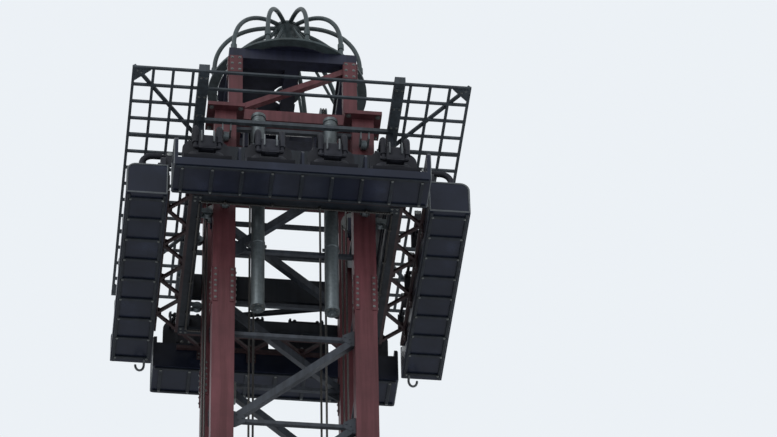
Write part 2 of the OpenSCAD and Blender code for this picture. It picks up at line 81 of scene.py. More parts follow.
def add_camera():
    """Camera far below the ride, at the viewing angle of the photo."""
    centre = Vector((0, 0, PARK_Z))
    back = Vector((math.sin(CAMERA_AZIMUTH) * math.cos(CAMERA_BELOW),
                   -math.cos(CAMERA_AZIMUTH) * math.cos(CAMERA_BELOW),
                   -math.sin(CAMERA_BELOW)))
    right = (-back).cross(Vector((0, 0, 1))).normalized()
    up = right.cross(-back)
    ahead = (-back + math.tan(AIM_RIGHT) * right + math.tan(AIM_UP) * up).normalized()
    right = ahead.cross(up).normalized()
    up = right.cross(ahead)
    turn = Matrix((right, up, -ahead)).transposed().to_4x4()
    data = bpy.data.cameras.new("photo_camera")
    data.sensor_width = SENSOR_MM
    data.lens = FOCAL_PX / PHOTO_W * SENSOR_MM
    data.clip_end = 500
    camera = bpy.data.objects.new("photo_camera", data)
    camera.matrix_world = (Matrix.Translation(centre + back * CAMERA_DISTANCE) @ turn
                           @ Matrix.Rotation(-CAMERA_ROLL, 4, "Z"))
    bpy.context.scene.collection.objects.link(camera)
    bpy.context.scene.camera = camera


# Materials

def link(nodes, a, out, b, inp):
    nodes.id_data.links.new(nodes[a].outputs[out], nodes[b].inputs[inp])


def noise(nodes, name, scale, stretch=(1, 1, 1), detail=5.0, rough=0.6):
    """Noise in the object's own coordinates, stretched along its axes."""
    mapping = nodes.new("ShaderNodeMapping")
    mapping.name = name + " mapping"
    mapping.inputs["Scale"].default_value = stretch
    tex = nodes.new("ShaderNodeTexNoise")
    tex.name = name
    tex.inputs["Scale"].default_value = scale
    tex.inputs["Detail"].default_value = detail
    tex.inputs["Roughness"].default_value = rough
    link(nodes, "coordinates", "Object", mapping.name, "Vector")
    link(nodes, mapping.name, "Vector", name, "Vector")


def cells(nodes, name, scale):
    """Voronoi cells in the object's own coordinates."""
    tex = nodes.new("ShaderNodeTexVoronoi")
    tex.name = name
    tex.inputs["Scale"].default_value = scale
    link(nodes, "coordinates", "Object", name, "Vector")


def ramp(nodes, name, source, stops):
    """Colour ramp fed by a texture's factor; stops are (position, colour)."""
    node = nodes.new("ShaderNodeValToRGB")
    node.name = name
    node.color_ramp.elements[0].position = stops[0][0]
    node.color_ramp.elements[0].color = (*stops[0][1], 1)
    node.color_ramp.elements[1].position = stops[-1][0]
    node.color_ramp.elements[1].color = (*stops[-1][1], 1)
    for position, colour in stops[1:-1]:
        node.color_ramp.elements.new(position).color = (*colour, 1)
    link(nodes, source, 0, name, "Fac")


# Sockets of a node that mixes colours
MIX_A = 6
MIX_B = 7
MIX_RESULT = 2


def colour_of(node):
    """Colour output of a mix node or a ramp."""
    return node.outputs[MIX_RESULT if node.bl_idname == "ShaderNodeMix" else 0]


def mix(nodes, name, blend, a, b, fac=None, amount=1.0):
    """Mix of two colours; a and b are node names or plain colours, fac is a ramp's name."""
    node = nodes.new("ShaderNodeMix")
    node.name = name
    node.data_type = "RGBA"
    node.blend_type = blend
    node.inputs[0].default_value = amount
    if fac:
        node.id_data.links.new(nodes[fac].outputs[0], node.inputs[0])
    for part, socket in ((a, node.inputs[MIX_A]), (b, node.inputs[MIX_B])):
        if isinstance(part, str):
            node.id_data.links.new(colour_of(nodes[part]), socket)
        else:
            socket.default_value = (*part, 1)


def new_material(name, roughness, metallic=0.0, specular=0.5):
    mat = bpy.data.materials.new(name)
    mat.use_nodes = True
    nodes = mat.node_tree.nodes
    coords = nodes.new("ShaderNodeTexCoord")
    coords.name = "coordinates"
    shader = nodes["Principled BSDF"]
    shader.inputs["Roughness"].default_value = roughness
    shader.inputs["Metallic"].default_value = metallic
    shader.inputs["Specular IOR Level"].default_value = specular
    return mat, nodes


def colour_from(nodes, source):
    nodes.id_data.links.new(colour_of(nodes[source]), nodes["Principled BSDF"].inputs["Base Color"])


def bump_from(nodes, source, strength, distance):
    bump = nodes.new("ShaderNodeBump")
    bump.name = "bump"
    bump.inputs["Strength"].default_value = strength
    bump.inputs["Distance"].default_value = distance
    nodes.id_data.links.new(nodes[source].outputs[0], bump.inputs["Height"])
    link(nodes, "bump", "Normal", "Principled BSDF", "Normal")


def rough_from(nodes, source, low, high):
    span = nodes.new("ShaderNodeMapRange")
    span.name = "roughness"
    span.inputs["To Min"].default_value = low
    span.inputs["To Max"].default_value = high
    nodes.id_data.links.new(nodes[source].outputs[0], span.inputs["Value"])
    link(nodes, "roughness", "Result", "Principled BSDF", "Roughness")


def scaled(colour, k):
    return tuple(min(1.0, c * k) for c in colour)


PRIMER = (0.075, 0.040, 0.026)


def weathered_paint(name, colour, wear=0.66, shine=0.42):
    """Outdoor paint: faded patches, rain streaks down Z, small chips and orange-peel bump."""
    mat, nodes = new_material(name, shine, specular=0.20)
    noise(nodes, "patches", 3.2, detail=4)
    ramp(nodes, "faded", "patches",
         ((0.30, scaled(colour, 0.80)), (0.52, colour), (0.75, scaled(colour, 1.28))))
    noise(nodes, "rain", 9.0, (2.6, 2.6, 0.13), detail=6)
    ramp(nodes, "streaks", "rain", ((0.40, (0.62, 0.60, 0.58)), (0.60, (1.0, 1.0, 1.0))))
    mix(nodes, "streaked", "MULTIPLY", "faded", "streaks", amount=0.75)
    noise(nodes, "chips", 34.0, detail=8, rough=0.72)
    ramp(nodes, "chipped", "chips", ((wear, (0, 0, 0)), (wear + 0.03, (1, 1, 1))))
    mix(nodes, "colour", "MIX", "streaked", PRIMER, fac="chipped")
    colour_from(nodes, "colour")
    rough_from(nodes, "rain", shine + 0.16, shine - 0.06)
    noise(nodes, "peel", 160.0, detail=3)
    bump_from(nodes, "peel", 0.18, 0.002)
    return mat


def galvanised(name, colour):
    """Zinc-coated or machined steel: crystalline spangle, dull streaks."""
    mat, nodes = new_material(name, 0.45, metallic=0.55)
    cells(nodes, "spangle", 42)
    ramp(nodes, "crystals", "spangle", ((0.0, scaled(colour, 0.78)), (1.0, scaled(colour, 1.18))))
    noise(nodes, "rain", 8.0, (2, 2, 0.2))
    ramp(nodes, "streaks", "rain", ((0.38, (0.66, 0.64, 0.60)), (0.62, (1, 1, 1))))
    mix(nodes, "colour", "MULTIPLY", "crystals", "streaks", amount=0.8)
    colour_from(nodes, "colour")
    rough_from(nodes, "rain", 0.58, 0.34)
    bump_from(nodes, "spangle", 0.06, 0.002)
    return mat


def moulded(name, colour, shine, grain=220.0, scuff=0.70):
    """Moulded fibre-glass or plastic: fine grain, pale scuffs, dust in random patches."""
    mat, nodes = new_material(name, shine, specular=0.18)
    noise(nodes, "dust", 4.5, detail=6)
    ramp(nodes, "dusty", "dust",
         ((0.34, scaled(colour, 0.75)), (0.55, colour), (0.78, scaled(colour, 1.9))))
    noise(nodes, "scuffs", 26.0, (1, 3.5, 0.6), detail=8, rough=0.75)
    ramp(nodes, "scuffed", "scuffs", ((scuff, (0, 0, 0)), (scuff + 0.05, (0.55, 0.55, 0.55))))
    mix(nodes, "colour", "MIX", "dusty", (0.070, 0.075, 0.085), fac="scuffed")
    colour_from(nodes, "colour")
    rough_from(nodes, "dust", shine + 0.14, shine - 0.05)
    noise(nodes, "grain", grain, detail=2)
    bump_from(nodes, "grain", 0.12, 0.001)
    return mat


def vinyl(name, colour):
    """Seat upholstery: pebbled grain, faded patches and worn, slightly glossier patches."""
    mat, nodes = new_material(name, 0.55, specular=0.25)
    noise(nodes, "fade", 6.0, detail=4)
    ramp(nodes, "faded", "fade", ((0.32, scaled(colour, 0.8)), (0.7, scaled(colour, 1.5))))
    colour_from(nodes, "faded")
    rough_from(nodes, "fade", 0.62, 0.42)
    cells(nodes, "pebble", 320)
    bump_from(nodes, "pebble", 0.35, 0.0008)
    return mat


def rope_steel(name):
    """Greased wire rope: dark strands that wind round the line."""
    mat, nodes = new_material(name, 0.38, metallic=0.7)
    wave = nodes.new("ShaderNodeTexWave")
    wave.name = "strands"
    wave.bands_direction = "DIAGONAL"
    wave.inputs["Scale"].default_value = 60
    link(nodes, "coordinates", "Object", "strands", "Vector")
    ramp(nodes, "grease", "strands", ((0.2, (0.022, 0.022, 0.022)), (0.8, (0.082, 0.079, 0.073))))
    colour_from(nodes, "grease")
    bump_from(nodes, "strands", 0.5, 0.002)
    return mat


def slot_colour(slot):
    for entry in frame["record"]["materials"]:
        if entry["slot"] == slot:
            return tuple(entry["base_color"][:3])
    raise KeyError(slot)


def make_materials():
    """The finish of each of the part's material slots, then those of the scene's own pieces."""
    return {
        "mast_paint": weathered_paint("mast_paint", slot_colour("mast_paint")),
        "lattice_paint": weathered_paint("lattice_paint", slot_colour("lattice_paint"), wear=0.68),
        "crown_paint": weathered_paint("crown_paint", slot_colour("crown_paint"), wear=0.70),
        "base_paint": weathered_paint("base_paint", slot_colour("base_paint"), wear=0.60, shine=0.5),
        "head_paint": weathered_paint("head_paint", slot_colour("head_paint"), wear=0.69),
        "bare_steel": galvanised("bare_steel", slot_colour("bare_steel")),
        "carriage_paint": weathered_paint("carriage_paint", slot_colour("carriage_paint"), wear=0.67),
        "outrigger_paint": weathered_paint("outrigger_paint", slot_colour("outrigger_paint"), wear=0.64),
        "tub_shell": moulded("tub_shell", slot_colour("tub_shell"), 0.26),
        "seat_shell": moulded("seat_shell", slot_colour("seat_shell"), 0.48, grain=300.0),
        "roof_paint": weathered_paint("roof_paint", slot_colour("roof_paint"), wear=0.68),
        "restraint_coat": moulded("restraint_coat", slot_colour("restraint_coat"), 0.60,
                                  grain=420.0, scuff=0.74),
        "fastener": galvanised("fastener", (0.13, 0.14, 0.14)),
        # trim's pale grey is the own colour of the grab handles and drain pipes; on the end-panel beads it
        # is painted highlight
        "trim": moulded("trim", (0.085, 0.094, 0.100), 0.40, grain=260.0, scuff=0.80),
        "vinyl": vinyl("vinyl", (0.014, 0.015, 0.021)),
        "rope": rope_steel("rope"),
    }


# Mesh building

class Shape:
    """Vertices and faces of one joined piece, built from small shapes."""

    def __init__(self):
        self.verts = []
        self.faces = []

    def add(self, verts, faces, place=None):
        start = len(self.verts)
        if place is not None:
            verts = [place @ Vector(v) for v in verts]
        self.verts.extend(tuple(v) for v in verts)
        self.faces.extend(tuple(i + start for i in face) for face in faces)

    def block(self, size, place, chamfer=0.004):
        """Box with chamfered edges, centred on its own origin."""
        x, y, z = (s / 2 for s in size)
        c = min(chamfer, 0.4 * min(x, y, z))
        verts = []
        for sx in (-1, 1):
            for sy in (-1, 1):
                for sz in (-1, 1):
                    verts.append((sx * x, sy * (y - c), sz * (z - c)))
                    verts.append((sx * (x - c), sy * y, sz * (z - c)))
                    verts.append((sx * (x - c), sy * (y - c), sz * z))
        self.hull(verts, place)

    def hull(self, verts, place=None):
        mesh = bmesh.new()
        for v in verts:
            mesh.verts.new(v)
        bmesh.ops.convex_hull(mesh, input=mesh.verts)
        bmesh.ops.dissolve_limit(mesh, angle_limit=0.01, verts=mesh.verts, edges=mesh.edges)
        mesh.verts.index_update()
        points = [v.co.copy() for v in mesh.verts]
        faces = [tuple(v.index for v in f.verts) for f in mesh.faces]
        mesh.free()
        self.add(points, faces, place)

    def prism(self, outline, thickness, place):
        """Flat plate: a 2D outline, thick along its own Z from 0 up."""
        n = len(outline)
        verts = [(x, y, 0) for x, y in outline] + [(x, y, thickness) for x, y in outline]
        faces = [tuple(range(n - 1, -1, -1)), tuple(range(n, 2 * n))]
        faces += [(i, (i + 1) % n, n + (i + 1) % n, n + i) for i in range(n)]
        self.add(verts, faces, place)

    def lathe(self, profile, sides, place):
        """Turned shape: (radius, height) points swept round its own Z."""
        verts = []
        for r, z in profile:
            for k in range(sides):
                a = 2 * math.pi * k / sides
                verts.append((r * math.cos(a), r * math.sin(a), z))
        faces = []
        for j in range(len(profile) - 1):
            for k in range(sides):
                a, b = j * sides + k, j * sides + (k + 1) % sides
                faces.append((a, b, b + sides, a + sides))
        faces.append(tuple(range(sides - 1, -1, -1)))
        top = (len(profile) - 1) * sides
        faces.append(tuple(range(top, top + sides)))
        self.add(verts, faces, place)

    def bolt(self, place, r, h):
        """Hex bolt head on its washer, standing on its own Z = 0."""
        self.lathe(((1.9 * r, 0), (1.9 * r, 0.25 * h)), 10, place)
        self.lathe(((1.15 * r, 0.25 * h), (1.15 * r, 0.85 * h), (0.9 * r, h)), 6, place)

    def tube(self, points, r, sides=8):
        """Round tube along a list of points, closed at both ends."""
        points = [Vector(p) for p in points]
        rings = []
        side = None
        for i, p in enumerate(points):
            ahead = (points[min(i + 1, len(points) - 1)] - points[max(i - 1, 0)]).normalized()
            if side is None:
                helper = Vector((0, 0, 1)) if abs(ahead.z) < 0.9 else Vector((1, 0, 0))
                side = ahead.cross(helper).normalized()
            side = (side - ahead * side.dot(ahead)).normalized()
            other = ahead.cross(side)
            rings.append([p + r * (math.cos(a) * side + math.sin(a) * other)
                          for a in (2 * math.pi * k / sides for k in range(sides))])
        verts = [v for ring in rings for v in ring]
        faces = []
        for j in range(len(rings) - 1):
            for k in range(sides):
                a, b = j * sides + k, j * sides + (k + 1) % sides
                faces.append((a, b, b + sides, a + sides))
        faces.append(tuple(range(sides - 1, -1, -1)))
        top = (len(rings) - 1) * sides
        faces.append(tuple(range(top, top + sides)))
        self.add(verts, faces)

    def make(self, name, material, body, smooth=35):
        """Turn the shape into an object that rides on a body."""
        mesh = bpy.data.meshes.new(name)
        mesh.from_pydata(self.verts, [], self.faces)
        tidy = bmesh.new()
        tidy.from_mesh(mesh)
        bmesh.ops.recalc_face_normals(tidy, faces=tidy.faces)
        tidy.to_mesh(mesh)
        tidy.free()
        mesh.materials.append(MATERIALS[material])
        mesh.shade_smooth()
        mesh.set_sharp_from_angle(angle=math.radians(smooth))
        obj = bpy.data.objects.new(name, mesh)
        bpy.context.scene.collection.objects.link(obj)
        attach(obj, body)
        return obj


def arc(start, end, steps):
    """Angles in even steps, in radians; start and end are in degrees."""
    return [math.radians(start + (end - start) * k / steps) for k in range(steps + 1)]


def corners(half):
    """The four corners of a square round the origin."""
    return [(x, y) for x in (-half, half) for y in (-half, half)]


def at(x, y, z):
    return Matrix.Translation((x, y, z))


def turned(degrees, axis="Z"):
    return Matrix.Rotation(math.radians(degrees), 4, axis)


def side_place(side):
    """Turn of a side of the ride, for a side modelled facing +X."""
    return turned(SIDES[side])


# Its own Z points outward along +X and its own X points down: for what stands on a face that looks at +X
FACE_X = Matrix(((0, 0, 1, 0), (0, 1, 0, 0), (-1, 0, 0, 0), (0, 0, 0, 1)))
# Its own Z points down
FACE_DOWN = turned(180, "X")


# Tower

def mast_gussets():
    """Small bolted plates where the diagonals meet struts and columns, on the lattice's outer face."""
    shape = Shape()
    t = 0.012
    u = LATTICE_U + STRUT_W / 2
    for side in SIDES:
        shift = BAY_H / 2 if side == "back" else 0
        open_bay = OPEN_BAY if side == "front" else -1
        for level in range(BAYS + 1):
            for end in (-1, 1):
                # a diagonal leaves upward at one end and arrives from below at the other
                bay = level if end < 0 else level - 1
                if bay not in range(BAYS) or bay == open_bay or level + shift == 0:
                    continue
                place = side_place(side) @ at(u, end * COLUMN_IN, level * BAY_H + shift) @ FACE_X
                # The plate's own X runs down and its own Y along the strut
                outline = [(-0.060, 0), (0.060, 0), (0.060, -end * 0.012), (0.020, -end * 0.075),
                           (-0.020, -end * 0.075), (-0.060, -end * 0.012)]
                shape.prism(outline, t, place)
                for x, y in ((-0.008, 0.058), (0.008, 0.030), (end * 0.036, 0.022)):
                    shape.bolt(place @ at(x, -end * y, t), r=0.0045, h=0.004)
    shape.make("mast_gussets", "lattice_paint", "tower")


SPLICE_LEN = 0.30
SPLICE_BOLTS = (-0.12, -0.07, -0.02, 0.02, 0.07, 0.12)
SPLICE_LEVELS = range(4, BAYS, 6)


def column_splices():
    """Bolted joints of the columns: plates beside the roller track, and beside the lattice inside."""
    plates = Shape()
    bolts = Shape()
    t = 0.006

    def splice(place, width, bolt_size):
        """One plate with its row of bolts."""
        plates.block((SPLICE_LEN, width, t), place @ at(0, 0, t / 2), 0.002)
        for x in SPLICE_BOLTS:
            bolts.bolt(place @ at(x, 0, t), r=bolt_size, h=bolt_size)

    for side in SIDES:
        for end in (-1, 1):
            for level in SPLICE_LEVELS:
                z = level * BAY_H + BAY_H / 2
                # two narrow plates on the outer face, clear of the roller track
                for edge in (-1, 1):
                    outer = side_place(side) @ at(COLUMN_OUT, end * HALF_PITCH + edge * 0.052, z)
                    splice(outer @ FACE_X, 0.026, 0.005)
                inner = side_place(side) @ at(COLUMN_IN, end * (HALF_PITCH + 0.045), z)
                splice(inner @ turned(180) @ FACE_X, 0.036, 0.006)
    plates.make("splice_plates", "mast_paint", "tower")
    bolts.make("splice_bolts", "fastener", "tower")


def column_cap_bolts():
    """Bolts at the corners of the columns' caps, with a head below and above."""
    shape = Shape()
    for x, y in corners(HALF_PITCH):
        for bolt_x, bolt_y in corners(0.095):
            place = at(x + bolt_x, y + bolt_y, MAST_TOP)
            shape.bolt(place @ FACE_DOWN, r=0.009, h=0.010)
            shape.bolt(place @ at(0, 0, CAP_T), r=0.009, h=0.010)
    shape.make("cap_bolts", "fastener", "tower")


def anchor_bolts():
    """Studs, nuts and washers of the column feet."""
    shape = Shape()
    for x, y in corners(HALF_PITCH):
        for stud_x, stud_y in corners(ANCHOR_PITCH / 2):
            place = at(x + stud_x, y + stud_y, FOOT_PLATE_T)
            shape.lathe(((0.024, 0), (0.024, 0.004)), 20, place)
            shape.lathe(((0.021, 0.004), (0.021, 0.022), (0.018, 0.025)), 6, place)
            shape.lathe(((0.012, 0.0), (0.012, 0.055), (0.010, 0.058)), 14, place)
    shape.make("anchor_nuts", "fastener", "tower")


SHEAVE_R = 0.170
SHEAVE_U = 0.230


def hoist_ropes():
    """Taut wire ropes in the mast: up from the base plate, over a sheave and down again."""
    shape = Shape()
    axle_z = HEAD_BASE + HEAD_BEAM_H + SHEAVE_R + 0.060
    rope_r = 0.007
    half_way = 10.0
    socket = ((0.030, 0), (0.030, 0.016), (0.016, 0.026), (0.014, 0.10))
    r = SHEAVE_R - rope_r
    for x in (-SHEAVE_U, SHEAVE_U):
        up = [(x, -r, FOOT_PLATE_T), (x, -r, half_way)]
        over = [(x, -r * math.cos(a), axle_z + r * math.sin(a)) for a in arc(0, 180, 12)]
        down = [(x, r, half_way), (x, r, FOOT_PLATE_T)]
        shape.tube(up + over + down, rope_r)
        for y in (-r, r):
            shape.lathe(socket, 16, at(x, y, FOOT_PLATE_T))
    shape.make("hoist_ropes", "rope", "tower")


DRIVE_V = 0.120
DRIVE_R = 0.080
DRIVE_U = COLUMN_OUT + 0.014 - DRIVE_R
DRIVE_SEAT = LATTICE_TOP + STRUT_W / 2
DRIVE_TOP = DRIVE_SEAT + 0.105
DRIVE_FOOT = BASE_BEAM_H + 0.098


def drive_sheaves():
    """Small grooved sheaves in forks at the top and foot of the mast's left and right faces."""
    wheels = Shape()
    forks = Shape()
    rim_r = DRIVE_R + 0.004
    groove_r = DRIVE_R - 0.006
    profile = ((0.020, -0.014), (rim_r, -0.012), (rim_r, -0.008), (groove_r, -0.003),
               (groove_r, 0.003), (rim_r, 0.008), (rim_r, 0.012), (0.020, 0.014))
    for side in ("left", "right"):
        for v in (-DRIVE_V, DRIVE_V):
            for z, seat in ((DRIVE_TOP, DRIVE_SEAT), (DRIVE_FOOT, BASE_BEAM_H)):
                centre = side_place(side) @ at(DRIVE_U, v, z)
                wheel = centre @ turned(-90, "X")
                wheels.lathe(profile, 40, wheel)
                wheels.lathe(((0.012, -0.034), (0.012, 0.034)), 20, wheel)
                wheels.bolt(wheel @ at(0, 0, 0.034), r=0.009, h=0.008)
                height = z - seat + 0.025
                for s in (-1, 1):
                    cheek = side_place(side) @ at(DRIVE_U, v + s * 0.024, seat + height / 2)
                    forks.block((0.086, 0.012, height), cheek, 0.004)
                foot = side_place(side) @ at(DRIVE_U, v, seat + 0.004)
                forks.block((0.062, 0.110, 0.008), foot, 0.002)
    wheels.make("drive_sheaves", "fastener", "tower")
    forks.make("drive_sheave_forks", "head_paint", "tower")


def drive_ropes():
    """Endless taut ropes up the outside of the left and right faces and down the inside."""
    shape = Shape()
    bend = arc(0, 180, 12)
    for side in ("left", "right"):
        for v in (-DRIVE_V, DRIVE_V):
            over = [(DRIVE_U + DRIVE_R * math.cos(a), DRIVE_TOP + DRIVE_R * math.sin(a)) for a in bend]
            under = [(DRIVE_U - DRIVE_R * math.cos(a), DRIVE_FOOT - DRIVE_R * math.sin(a)) for a in bend]
            loop = over + under + over[:1]
            place = side_place(side)
            shape.tube([place @ Vector((u, v, z)) for u, z in loop], 0.006, 8)
    shape.make("drive_ropes", "rope", "tower")


def conduit():
    """Cable duct up the inner corner of one column, clipped at every lattice level, with junction boxes."""
    shape = Shape()
    u = -COLUMN_IN + 0.024
    v = HALF_PITCH - 0.050
    shape.block((0.030, 0.046, MAST_TOP - 0.30), at(u, v, MAST_TOP / 2 + 0.10), 0.004)
    for level in range(1, BAYS + 1):
        z = level * BAY_H + 0.10
        shape.block((0.048, 0.050, 0.018), at(u, v, z), 0.003)
    # junction boxes near the foot, the middle and the top
    for level in (1, 15, 28):
        z = level * BAY_H + 0.24
        shape.block((0.062, 0.066, 0.150), at(u + 0.026, v - 0.012, z), 0.006)
    shape.make("cable_duct", "fastener", "tower")


CYLINDER_R = 0.043
CYLINDER_U = LATTICE_U + DIAGONAL_W / 2 + RUNNING_GAP + CYLINDER_R
CYLINDER_V = 0.233
CYLINDER_LEN = 1.665
CYLINDER_TOP = MAST_TOP - 0.040
CYLINDER_FOOT = CYLINDER_TOP - CYLINDER_LEN


def cylinder_fittings():
    """Clamp bands over the buffer cylinders' brackets, and the plugs and screws of their lower ends."""
    bands = Shape()
    bolts = Shape()
    edge_r = CYLINDER_R + 0.001
    band_r = CYLINDER_R + 0.003
    for v in (-CYLINDER_V, CYLINDER_V):
        base = side_place("front") @ at(CYLINDER_U, v, 0)
        for z in (LATTICE_TOP + BAY_H / 2, LATTICE_TOP, LATTICE_TOP - BAY_H):
            bands.lathe(((edge_r, z - 0.012), (band_r, z - 0.009),
                         (band_r, z + 0.009), (edge_r, z + 0.012)), 32, base)
            for s in (-1, 1):
                ear = base @ at(-0.020, s * (CYLINDER_R + 0.004), z)
                bands.block((0.012, 0.020, 0.022), ear, 0.002)
                bolts.bolt(ear @ at(0.006, s * 0.003, 0) @ FACE_X, r=0.004, h=0.004)
        under = base @ at(0, 0, CYLINDER_FOOT) @ FACE_DOWN
        bands.lathe(((0.024, 0), (0.024, 0.010), (0.012, 0.012), (0.012, 0.030)), 24, under)
        for k in range(8):
            bolts.bolt(under @ turned(45 * k) @ at(0.038, 0, 0), r=0.0045, h=0.005)
    bands.make("cylinder_bands", "bare_steel", "tower")
    bolts.make("cylinder_bolts", "fastener", "tower")


# Gondola

WING_REACH = 1.085
WING_DEPTH = 0.265
WING_IN = WING_REACH - WING_DEPTH
PANEL_H = 0.255
CORNER_R = 0.060
RING_GAP = 0.075
RING_IN = COLUMN_OUT + RING_GAP
RING_W = 0.068
RING_AXIS = RING_IN + RING_W / 2
RING_OUT = RING_IN + RING_W
RING_Z = 0.150
RING_H = 0.090
ZIGZAG_H = 0.026
ZIGZAG_BAYS = 4
SEAT_IN = WING_IN + 0.016
SEAT_TOP = 0.422
BACK_T = 0.032
BACK_FACE = SEAT_IN + BACK_T
PAN_TOP = 0.110
PIVOT_U = WING_IN - 0.008
PIVOT_Z = SEAT_TOP + 0.020
ARM_R = 0.013
ARM_PITCH = 0.150
ARM_Z = PIVOT_Z + 0.010
ARM_REACH = 0.173
ARM_OUT = PIVOT_U + ARM_REACH
ARM_BEND_R = 0.070
LAP_Z = 0.250
ROOF_Z = 0.830
ROOF_REACH = 1.080
MAIN_BEAM = RING_AXIS
MESH_W = 0.018


def seat_v(i):
    return (i - 1.5) * SEAT_PITCH


def panel_outline(inset):
    """Side view of an end panel as (u, z) points, its outer top corner rounded."""
    u0, u1 = WING_IN + inset, WING_REACH - inset
    z0, z1 = inset, PANEL_H - inset
    r = CORNER_R - inset
    points = [(u0, z0), (u1, z0)]
    points += [(u1 - r + r * math.cos(a), z1 - r + r * math.sin(a)) for a in arc(0, 90, 8)]
    points.append((u0, z1))
    return points


def painted_highlight_beads():
    """Pale bead round the edge of each wing's end panels: a painted highlight that stands in for the lit
    edges of the end faces.
    """
    shape = Shape()
    bead_r = 0.0065
    for side in SIDES:
        for end in (-1, 1):
            place = side_place(side) @ at(0, end * WING_LEN / 2, PARK_Z)
            loop = [place @ Vector((u, 0, z)) for u, z in panel_outline(bead_r)]
            loop.append(loop[0])
            shape.tube(loop, bead_r)
    # the bead's pale trim colour is painted highlight on the lit edges of the end panels
    shape.make("painted_highlight_beads", "trim", "gondola")


def drain_pipes():
    """Small bent pipes under the back ends of the left and right trays."""
    shape = Shape()
    u = WING_IN + 0.045
    bend_u = 0.028
    bend_z = 0.045
    for side, end in (("left", -1), ("right", 1)):
        base = side_place(side) @ at(0, 0, PARK_Z)
        v = end * (WING_LEN / 2 - 0.045)
        points = [(u, v, 0.004), (u, v, -0.020)]
        points += [(u + bend_u * (1 - math.cos(a)), v + end * 0.020, -bend_z - bend_z * math.sin(a))
                   for a in arc(0, 180, 8)]
        shape.tube([base @ Vector(p) for p in points], 0.008, 10)
    shape.make("drain_pipes", "trim", "gondola")


def tray_undersides():
    """Ribs, stringers and fasteners under each wing's tray."""
    ribs = Shape()
    bolts = Shape()
    depth = 0.014
    sunk = 0.001
    end_gap = 0.05
    spaces = 8
    for side in SIDES:
        base = side_place(side) @ at(0, 0, PARK_Z)
        for k in range(spaces + 1):
            v = -WING_LEN / 2 + end_gap + k * (WING_LEN - 2 * end_gap) / spaces
            rib = base @ at(WING_IN + WING_DEPTH / 2, v, -depth / 2 + sunk)
            ribs.block((WING_DEPTH - 0.03, 0.022, depth), rib)
            for u in (WING_IN + 0.03, WING_REACH - 0.03):
                bolts.bolt(base @ at(u, v, -depth + sunk) @ FACE_DOWN, r=0.0045, h=0.004)
        for u in (WING_IN + 0.02, WING_REACH - 0.02):
            ribs.block((0.020, WING_LEN - 0.02, depth), base @ at(u, 0, -depth / 2 + sunk))
    ribs.make("tray_ribs", "carriage_paint", "gondola")
    bolts.make("tray_bolts", "fastener", "gondola")


def outrigger_plates():
    """Node plates and bolts of the zigzag girders, and the brackets that hold the wings."""
    plates = Shape()
    bolts = Shape()
    t = 0.005
    top = PARK_Z + RING_Z + ZIGZAG_H
    reach = RING_OUT - 0.005
    step = 2 * reach / ZIGZAG_BAYS
    for side in SIDES:
        base = side_place(side)
        for i in range(ZIGZAG_BAYS):
            tip = base @ at(WING_IN - 0.010, -reach + (i + 0.5) * step, top)
            plates.prism([(-0.036, -0.028), (0.008, -0.044), (0.008, 0.044), (-0.036, 0.028)], t, tip)
            for x, y in ((-0.024, -0.014), (-0.024, 0.014), (0.0, -0.030), (0.0, 0.030)):
                bolts.bolt(tip @ at(x, y, t), r=0.004, h=0.004)
            bracket = base @ at(WING_IN - 0.006, -reach + (i + 0.5) * step, PARK_Z + RING_Z - 0.040)
            plates.block((0.012, 0.060, 0.080), bracket, 0.002)
            for dz in (-0.025, 0.005):
                for dy in (-0.017, 0.017):
                    bolts.bolt(bracket @ at(-0.006, dy, dz) @ turned(180) @ FACE_X, r=0.004, h=0.004)
        for i in range(ZIGZAG_BAYS + 1):
            # the two end feet stand a little further in
            inward = {0: 0.025, ZIGZAG_BAYS: -0.025}.get(i, 0)
            foot = base @ at(RING_OUT + 0.010, -reach + i * step + inward, top)
            plates.prism([(-0.008, -0.040), (0.030, -0.022), (0.030, 0.022), (-0.008, 0.040)], t, foot)
            for y in (-0.018, 0.018):
                bolts.bolt(foot @ at(0.005, y, t), r=0.004, h=0.004)
    plates.make("outrigger_plates", "outrigger_paint", "gondola")
    bolts.make("outrigger_bolts", "fastener", "gondola")


def ring_details():
    """Corner plates, web stiffeners and bolts of the lower ring, and the air line clipped to it."""
    plates = Shape()
    bolts = Shape()
    line = Shape()
    t = 0.006
    for side in SIDES:
        base = side_place(side)
        for v in (-0.50, -0.25, 0.0, 0.25, 0.50):
            stiffener = base @ at(RING_OUT + 0.004, v, PARK_Z + RING_Z + RING_H * 0.68)
            plates.block((0.010, 0.012, RING_H * 0.55), stiffener, 0.002)
        for z, face in ((PARK_Z + RING_Z + RING_H, Matrix()), (PARK_Z + RING_Z, FACE_DOWN)):
            corner = base @ at(RING_AXIS, -RING_AXIS, z) @ face
            plates.block((RING_W - 0.004, RING_W - 0.004, t), corner @ at(0, 0, t / 2), 0.002)
            if face is FACE_DOWN:
                for x, y in corners(0.016):
                    bolts.bolt(corner @ at(x, y, t), r=0.0045, h=0.005)
        u = RING_IN + 0.020
        z = PARK_Z + RING_Z - 0.016
        line.tube([base @ Vector((u, v, z)) for v in (-0.60, -0.30, 0.0, 0.30, 0.60)], 0.007)
        for v in (-0.45, -0.15, 0.15, 0.45):
            line.block((0.024, 0.016, 0.024), base @ at(u, v, z + 0.006), 0.003)
    plates.make("ring_plates", "carriage_paint", "gondola")
    bolts.make("ring_bolts", "fastener", "gondola")
    line.make("air_lines", "rope", "gondola")


